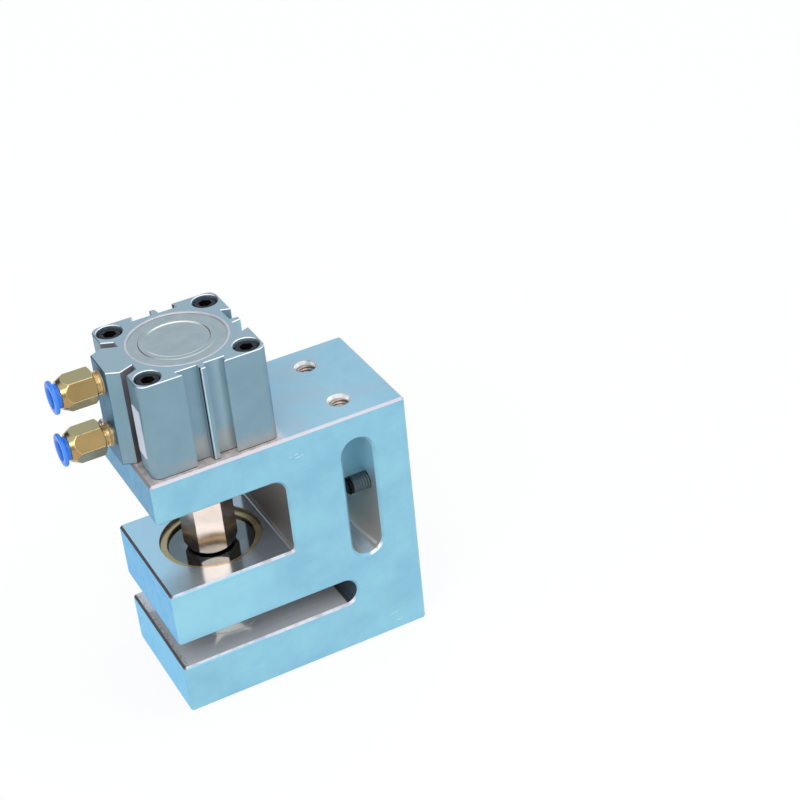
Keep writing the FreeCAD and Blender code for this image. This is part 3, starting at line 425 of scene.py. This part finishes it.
def cover_finish():
    """Turned aluminium: a pale grey whose faint lathe rings, 0.4 mm apart, spread the light in arcs."""
    made, tree = new_material("cover_aluminium")
    parts = add(tree, "SeparateXYZ", {0: place_mm(tree)}).outputs
    across = math_of(tree, "MULTIPLY", parts[0], parts[0])
    along = math_of(tree, "MULTIPLY", parts[1], parts[1])
    radius = math_of(tree, "SQRT", math_of(tree, "ADD", across, along))
    rings = math_of(tree, "SINE", math_of(tree, "MULTIPLY", radius, LATHE_TURNS))
    tone = cloud(tree, place_mm(tree), 6, 3)
    colour = blended(tree, between(tree, tone, 0.3, 0.7), srgb("#AEB8BA"), srgb("#B8C1C2"))

    # The ridge's slopes carry a painted highlight in arcs, strongest where they face one set direction.
    upright = math_of(
        tree, "ADD", math_of(tree, "MULTIPLY", parts[0], 0.42), math_of(tree, "MULTIPLY", parts[1], 0.91))
    highlight_arc = between(tree, math_of(tree, "ABSOLUTE", math_of(tree, "DIVIDE", upright, radius)), 0.35, 0.9)
    inner = between(tree, math_of(tree, "ABSOLUTE", math_of(tree, "SUBTRACT", radius, RIDGE_R)), 0.6, 0.3)
    colour = blended(tree, product(tree, inner, highlight_arc, 0.85), colour, srgb("#F8F4EA"))
    normal = bumped(tree, rings, 0.002)
    return finish_material(made, Base_Color=colour, Metallic=0.85, Roughness=0.34, Normal=normal)


def punch_finish():
    """Polished tool steel: a near mirror on the guide head, left dull on the cutting end below it, which is
    painted pale and glows as painted light from the ground arm below.
    """
    made, tree = new_material("tool_steel_punch")
    plain = place_mm(tree)
    z = add(tree, "SeparateXYZ", {0: plain}).outputs[2]
    tone = cloud(tree, plain, 8, 4)
    cutting = between(tree, z, 37.0, 36.5)
    colour = blended(tree, between(tree, tone, 0.3, 0.7), srgb("#6C767A"), srgb("#7E868A"))
    colour = blended(tree, cutting, colour, srgb("#F0ECE2"))
    rough = add(tree, "Mix", {0: cutting, 2: between(tree, tone, 0.3, 0.7, 0.07, 0.11), 3: 0.5}).outputs[0]
    metal = add(tree, "Mix", {0: cutting, 2: 1.0, 3: 0.1}).outputs[0]

    # Painted glow: the cutting face glows as painted light thrown up by the ground arm below.
    down = add(tree, "SeparateXYZ", {0: add(tree, "NewGeometry").outputs["Normal"]}).outputs[2]
    painted_glow = product(tree, cutting, between(tree, down, -0.8, -0.95), 0.9)
    return finish_material(made, Base_Color=colour, Metallic=metal, Roughness=rough,
                           Emission_Color=srgb("#F4F0E4"), Emission_Strength=painted_glow)


def plain_metal(name, dark, light, rough_low, rough_high, size=2.5, edge=0.0, metallic=1.0):
    """Metal whose tone and gloss vary in soft patches of a size in millimetres, with edges rounded by edge."""
    made, tree = new_material(name)
    tone = cloud(tree, place_mm(tree), size, 4)
    colour = blended(tree, between(tree, tone, 0.3, 0.7), srgb(dark), srgb(light))
    rough = between(tree, tone, 0.3, 0.7, rough_low, rough_high)
    inputs = {"Base_Color": colour, "Metallic": metallic, "Roughness": rough}
    if edge:
        inputs["Normal"] = soft_edge(tree, edge)
    return finish_material(made, **inputs)


def screw_finish():
    """Hardened steel, slate grey with a dull sheen on the thread, and with its tip painted black as painted shade.
    """
    made, tree = new_material("slate_steel")
    plain = place_mm(tree)
    x = add(tree, "SeparateXYZ", {0: plain}).outputs[0]
    # Painted shade: the tip is painted black.
    tip = between(tree, x, 58.6, 57.8)
    tone = cloud(tree, plain, 1.5, 3)
    body = blended(tree, tone, srgb("#4A5A62"), srgb("#5C6A72"))
    colour = blended(tree, tip, body, srgb("#0C0A10"))
    rough = add(tree, "Mix", {0: tip, 2: 0.5, 3: 0.22}).outputs[0]
    return finish_material(made, Base_Color=colour, Metallic=0.5, Roughness=rough)


NECK_X = -37.0


def brass_finish():
    """Turned brass: a painted greenish reflection on the flats that look up, paler and dull on those that look
    down as painted light over their dark reflection, and a painted golden highlight on the neck.
    """
    made, tree = new_material("fitting_brass")
    plain = place_mm(tree)
    x = add(tree, "SeparateXYZ", {0: plain}).outputs[0]
    up = add(tree, "SeparateXYZ", {0: add(tree, "NewGeometry").outputs["Normal"]}).outputs[2]
    tone = cloud(tree, plain, 12, 4)
    colour = blended(tree, between(tree, tone, 0.3, 0.7), srgb("#AE905E"), srgb("#B69866"))
    # Painted reflection on the flats that look up, painted light on those that look down, and a painted highlight
    # on the neck.
    colour = blended(tree, between(tree, up, 0.5, 0.8), colour, srgb("#BAAE82"))
    low = between(tree, up, -0.35, -0.7)
    colour = blended(tree, low, colour, srgb("#B4B49C"))
    neck = between(tree, x, NECK_X - 0.2, NECK_X + 0.2)
    colour = blended(tree, neck, colour, srgb("#F6D094"))

    # Painted highlight on the edges that look up.
    round_edge = soft_edge(tree, 0.55)
    flat = add(tree, "NewGeometry").outputs["Normal"]
    match = add(tree, "VectorMath", {0: round_edge, 1: flat}, operation="DOT_PRODUCT").outputs["Value"]
    edge_highlight = product(tree, between(tree, match, 0.995, 0.95), between(tree, up, -0.2, 0.1))
    colour = blended(tree, edge_highlight, colour, srgb("#FFE8B4"))
    rough = add(tree, "Mix", {0: neck, 2: between(tree, tone, 0.3, 0.7, 0.2, 0.24), 3: 0.3}).outputs[0]
    metal = add(tree, "Mix", {0: low, 2: 1.0, 3: 0.35}).outputs[0]
    return finish_material(made, Base_Color=colour, Metallic=metal, Roughness=rough, Normal=round_edge)


def plastic(name, dark, light, rough, edge=0.15, depth=0.0):
    """Moulded plastic or rubber with a faint unevenness of tone."""
    made, tree = new_material(name)
    tone = cloud(tree, place_mm(tree), 3, 3)
    colour = blended(tree, tone, srgb(dark), srgb(light))
    normal = bumped(tree, cloud(tree, place_mm(tree), 0.4, 3), depth, soft_edge(tree, edge))
    return finish_material(made, Base_Color=colour, Roughness=rough, Normal=normal)


FRAME = frame_finish()
SCREW_STEEL = screw_finish()
dress(FRAME, "frame_block")
dress(barrel_finish(), "cylinder_barrel")
dress(cover_finish(), "back_cover", "front_cover", "piston")
dress(punch_finish(), "punch")
dress(brass_finish(), "fitting_body_upper", "fitting_body_lower", "fitting_sleeve_upper", "fitting_sleeve_lower")

# Blackened steel: nearly black, with a soft oily sheen on its rounded edges.
dress(plain_metal("black_steel", "#0F0E10", "#1C1B20", 0.24, 0.36, 1.2, 0.15, 0.5),
      "cylinder_screw_1", "cylinder_screw_2", "cylinder_screw_3", "cylinder_screw_4",
      "rail_clamp_screw_left", "rail_clamp_screw_right")

# Turned bearing bronze: a pale, greenish gold.
dress(plain_metal("bush_bronze", "#B4A47E", "#C2B48E", 0.25, 0.36, 6), "guide_bush", "rod_bush")

# Ground steel, level with the arm round it and as silvery and smooth as that.
dress(plain_metal("ground_steel", "#CED4DA", "#DEE4E8", 0.12, 0.16, 6, 0.0, 0.42), "die_ring", "die_insert")

# Lapped tool steel: a dark grey mirror.
dress(plain_metal("tool_steel", "#7A8892", "#8C98A2", 0.08, 0.14, 8), "stripper_plate")

# Bright drawn steel: pale flats that mirror the room softly, a little warm.
dress(plain_metal("coupler_steel", "#F2E0D4", "#FCEDE2", 0.2, 0.27, 6, 0.25), "hex_coupler")

# Hard chrome: white and very smooth.
dress(plain_metal("rod_chrome", "#D8DADD", "#E4E6E8", 0.06, 0.1, 6), "piston_rod")

# Zinc-plated steel, light grey; spring steel, darker and oiled; magnet, matt dark grey.
dress(plain_metal("plain_steel", "#A9A9A7", "#BDBDBA", 0.25, 0.35), "piston_nut")
dress(plain_metal("spring_steel", "#5D5B59", "#75726E", 0.28, 0.4),
      "retaining_ring", "fitting_collet_upper", "fitting_collet_lower")
dress(plain_metal("magnet", "#4A4A4C", "#5A5A5C", 0.4, 0.5), "piston_magnet")

# Moulded acetal: an even bright blue with a satin gloss.
dress(plastic("collar_blue", "#2C78E2", "#3A88EC", 0.34), "release_collar_upper", "release_collar_lower")

# Nitrile rubber, black and dull; the bumpers are of a harder grade, a little lighter.
dress(plastic("seal_rubber", "#17181A", "#222326", 0.55),
      "piston_seal", "back_cover_seal", "front_cover_seal", "rod_seal", "fitting_seal_upper", "fitting_seal_lower")
dress(plastic("bumper_rubber", "#2A2A2C", "#343436", 0.6), "bottom_bumper", "top_bumper")

# Set thread sealant: tan, lumpy and a little shiny.
dress(plastic("sealant", "#968060", "#B49C74", 0.35, 0.2, 0.05), "thread_sealant_upper", "thread_sealant_lower")

# Coated paper, white, painted a lilac grey as painted shade.
dress(plastic("label_white", "#CED6E4", "#D8DFEA", 0.4, 0.05), "blank_label")


# Pieces with details that the CAD leaves plain: threads, the label's corners and the lip of the barrel

def mesh_piece(name, points, faces, made, smooth=False):
    """Object made from points in millimetres."""
    data = bpy.data.meshes.new(name)
    data.from_pydata([tuple(c * MM for c in p) for p in points], [], faces)
    data.validate()
    data.materials.append(made)
    for face in data.polygons:
        face.use_smooth = smooth
    piece = bpy.data.objects.new(name, data)
    bpy.context.scene.collection.objects.link(piece)
    return piece


def strip_faces(rows, count, closed=True):
    """Quads between rows of count points each."""
    faces = []
    for a in range(rows - 1):
        for b in range(count if closed else count - 1):
            c = (b + 1) % count
            faces.append((a * count + b, a * count + c, (a + 1) * count + c, (a + 1) * count + b))
    return faces


THREAD_PITCH = 1.25
CLAMP_Y = 20.0


def tap_thread(name, x, y):
    """Ridge of an M8 thread, wound down a tapped hole below its countersink."""
    turn_steps = 40
    turns = 6.6
    fade_steps = 12
    top = 114.5
    root, crest = 4.03, 3.42
    half_foot, half_tip = 0.56, 0.1
    points = []
    rows = int(turn_steps * turns)
    for k in range(rows):
        angle = 2 * math.pi * k / turn_steps
        z = top - THREAD_PITCH * k / turn_steps
        fade = min(1.0, k / fade_steps, (rows - 1 - k) / fade_steps)
        inner = root + (crest - root) * fade
        for r, dz in ((root, half_foot), (inner, half_tip), (inner, -half_tip), (root, -half_foot)):
            points.append((x + r * math.cos(angle), y + r * math.sin(angle), z + dz))
    faces = strip_faces(rows, 4, False)
    piece = mesh_piece(name, points, faces, FRAME, True)
    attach(piece, "frame")


def clamp_screw(side, y):
    """Set screw with an M8 thread, a plain bevelled tip and a hexagon socket in its other end."""
    low, high, z0 = 56.0, 80.0, 76.5
    outer_r, thread_depth, end_r = 4.0, 0.4, 3.1
    socket_half, socket_depth, socket_cone = 2.0, 4.0, 0.6
    around = 48
    steps_per_turn = 8
    sixth = math.radians(60)
    count = int(round((high - low) * steps_per_turn / THREAD_PITCH))
    points = []
    for k in range(count + 1):
        x = low + (high - low) * k / count
        limit = min(outer_r, end_r + (x - low), end_r + (high - x))
        for m in range(around):
            angle = 2 * math.pi * m / around
            wave = abs(((x / THREAD_PITCH - m / around) % 1.0) * 2 - 1)
            r = min(limit, outer_r - thread_depth + thread_depth * min(1.0, max(0.0, wave * 1.3 - 0.15)))
            points.append((x, y + r * math.cos(angle), z0 + r * math.sin(angle)))
    faces = strip_faces(count + 1, around)
    tip = len(points)
    points.append((low, y, z0))
    for m in range(around):
        faces.append((m, tip, (m + 1) % around))
    last = count * around
    ring = len(points)
    for x in (high, high - socket_depth):
        for m in range(around):
            angle = 2 * math.pi * m / around
            part = (angle + sixth / 2) % sixth - sixth / 2
            r = socket_half / math.cos(part)
            points.append((x, y + r * math.cos(angle), z0 + r * math.sin(angle)))
    for m in range(around):
        n = (m + 1) % around
        faces.append((last + m, last + n, ring + n, ring + m))
        faces.append((ring + m, ring + n, ring + around + n, ring + around + m))
    floor_point = len(points)
    points.append((high - socket_depth - socket_cone, y, z0))
    for m in range(around):
        faces.append((ring + around + m, ring + around + (m + 1) % around, floor_point))
    piece = mesh_piece("threaded_clamp_screw_" + side, points, faces, SCREW_STEEL)
    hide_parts("rail_clamp_screw_" + side)
    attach(piece, "clamp_" + side)


def rounded_label():
    """Thin label with rounded corners."""
    low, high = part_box("blank_label")
    low, high = [c / MM for c in low], [c / MM for c in high]
    r = 0.9
    corner_steps = 6
    outline = []
    corners = (
        (high[1] - r, high[2] - r, 0), (low[1] + r, high[2] - r, 90),
        (low[1] + r, low[2] + r, 180), (high[1] - r, low[2] + r, 270))
    for cy, cz, start in corners:
        for k in range(corner_steps + 1):
            angle = math.radians(start + 90 * k / corner_steps)
            outline.append((cy + r * math.cos(angle), cz + r * math.sin(angle)))
    count = len(outline)
    points = [(low[0], a, b) for a, b in outline] + [(high[0], a, b) for a, b in outline]
    faces = [tuple(range(count)), tuple(range(2 * count - 1, count - 1, -1))] + strip_faces(2, count)
    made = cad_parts["blank_label"].material_slots[0].material
    piece = mesh_piece("rounded_label", points, faces, made)
    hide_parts("blank_label")
    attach(piece, "frame")


def rolled_lip():
    """Thin lip of the barrel, rolled in over the rim of the back cover."""
    around, steps = 144, 10
    middle, half_w, half_h, z0 = 20.75, 0.7, 0.42, 159.72
    points = []
    for k in range(around):
        angle = 2 * math.pi * k / around
        for m in range(steps):
            turn = 2 * math.pi * m / steps
            r = middle + half_w * math.cos(turn)
            points.append((r * math.cos(angle), r * math.sin(angle), z0 + half_h * math.sin(turn)))
    faces = strip_faces(around, steps)
    last = (around - 1) * steps
    for m in range(steps):
        n = (m + 1) % steps
        faces.append((last + m, last + n, n, m))
    made = plain_metal("lip_aluminium", "#C4C2C6", "#D0CED0", 0.4, 0.5, 5, 0.0, 0.5)
    piece = mesh_piece("rolled_lip", points, faces, made, True)
    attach(piece, "frame")


for side, sign in (("left", 1), ("right", -1)):
    tap_thread("tap_thread_" + side, TAP_X, sign * TAP_Y)
    clamp_screw(side, sign * CLAMP_Y)
rounded_label()
rolled_lip()


# Room: pale surroundings, brighter over the camera, with a dark part behind the left and a small soft box.
# Directions point from the object; angles are in degrees.

BEHIND = (0.35, 0.76, 0.54)
DARK_PART = (-0.54, 0.76, 0.35)
GREY_PART = (-0.1, -1.0, -0.1)
OVERHEAD = (0.35, -0.54, 0.76)

# The coupler's near flat mirrors the soft box into the camera.
SOFT_BOX = (-0.106, -0.833, 0.542)


def room():
    world = bpy.data.worlds.new("room")
    bpy.context.scene.world = world
    world.use_nodes = True
    tree = world.node_tree
    tree.nodes.clear()
    way = add(tree, "TexCoord").outputs["Generated"]

    def towards(direction, inner, outer):
        """1 within an inner angle of a direction, 0 past the outer one, in degrees."""
        unit = Vector(direction).normalized()
        dot = add(tree, "VectorMath", {0: way, 1: unit}, operation="DOT_PRODUCT").outputs["Value"]
        return between(tree, dot, math.cos(math.radians(outer)), math.cos(math.radians(inner)))

    height = add(tree, "SeparateXYZ", {0: way}).outputs[2]
    colour = blended(tree, between(tree, height, 0.0, 0.9), srgb("#E6EEF4"), srgb("#F4F8FC"))
    colour = blended(tree, towards(BEHIND, 20, 60), colour, srgb("#D6E2EC"))
    colour = blended(tree, towards(DARK_PART, 18, 40), colour, srgb("#443E3C"))
    colour = blended(tree, towards(GREY_PART, 30, 80), colour, srgb("#C4CCD2"))
    box = towards(SOFT_BOX, 6, 12)
    colour = blended(tree, box, colour, srgb("#FFECE0"))
    strong = add(tree, "Mix", {0: towards(OVERHEAD, 15, 60), 2: 1.0, 3: 1.6}).outputs[0]
    strong = add(tree, "Mix", {0: box, 2: strong, 3: 4.6}).outputs[0]
    shader = add(tree, "Background", {"Color": colour, "Strength": strong})
    add(tree, "OutputWorld", {"Surface": shader.outputs[0]})


def lamp(name, place, target, size, power, colour):
    """Rectangular lamp that looks from a place to a target."""
    data = bpy.data.lights.new(name, "AREA")
    data.shape = "RECTANGLE"
    data.size, data.size_y = size
    data.energy = power
    data.color = srgb(colour)[:3]
    made = bpy.data.objects.new(name, data)
    bpy.context.scene.collection.objects.link(made)
    made.location = place
    made.rotation_euler = (Vector(target) - Vector(place)).to_track_quat("-Z", "Y").to_euler()


FLOOR_WIDTH = 12
FLOOR_BELOW = 0.00005
SEEN_WHITE = 0.86


def floor():
    """White table, raised to the pale background where it is seen or mirrored; it keeps the soft shadow."""
    made, tree = new_material("white_table")
    path = add(tree, "LightPath").outputs
    seen = most(tree, [path["Is Camera Ray"], path["Is Glossy Ray"], path["Is Transmission Ray"]])
    matt = add(tree, "BsdfDiffuse", {"Color": srgb("#FCFAF6")})
    glow = add(tree, "Emission", {"Color": srgb("#FFFFFF"), "Strength": 1.0})
    share = product(tree, seen, SEEN_WHITE)
    both = add(tree, "MixShader", {0: share, 1: matt.outputs[0], 2: glow.outputs[0]})
    add(tree, "OutputMaterial", {"Surface": both.outputs[0]})
    bpy.ops.mesh.primitive_plane_add(size=FLOOR_WIDTH, location=(0, 0, -FLOOR_BELOW))
    table = bpy.context.object
    table.name = "white_table"
    table.data.materials.append(made)


# The photograph's camera: its place, and the directions of its picture in the part's frame.
CAMERA_PLACE = (-0.196133, -0.629372, 0.541555)
CAMERA_RIGHT = (0.88076315, -0.46602274, -0.08413726)
CAMERA_DOWN = (-0.31660689, -0.44736027, -0.8364382)
CAMERA_AHEAD = (0.35215955, 0.76334238, -0.54156445)
FOCAL_LENGTH = 85.92
SENSOR_WIDTH = 36


def camera():
    data = bpy.data.cameras.new("camera")
    data.lens = FOCAL_LENGTH
    data.sensor_width = SENSOR_WIDTH
    data.clip_start = 0.01
    made = bpy.data.objects.new("camera", data)
    bpy.context.scene.collection.objects.link(made)
    turn = Matrix((Vector(CAMERA_RIGHT), -Vector(CAMERA_DOWN), -Vector(CAMERA_AHEAD))).transposed()
    made.matrix_world = Matrix.Translation(CAMERA_PLACE) @ turn.to_4x4()
    bpy.context.scene.camera = made


room()
lamp("key_light", (-0.75, -0.72, 0.95), (0, 0, 0.08), (0.6, 0.45), 4.0, "#FFFBF6")
floor()
camera()
bpy.context.scene.view_settings.view_transform = "Standard"
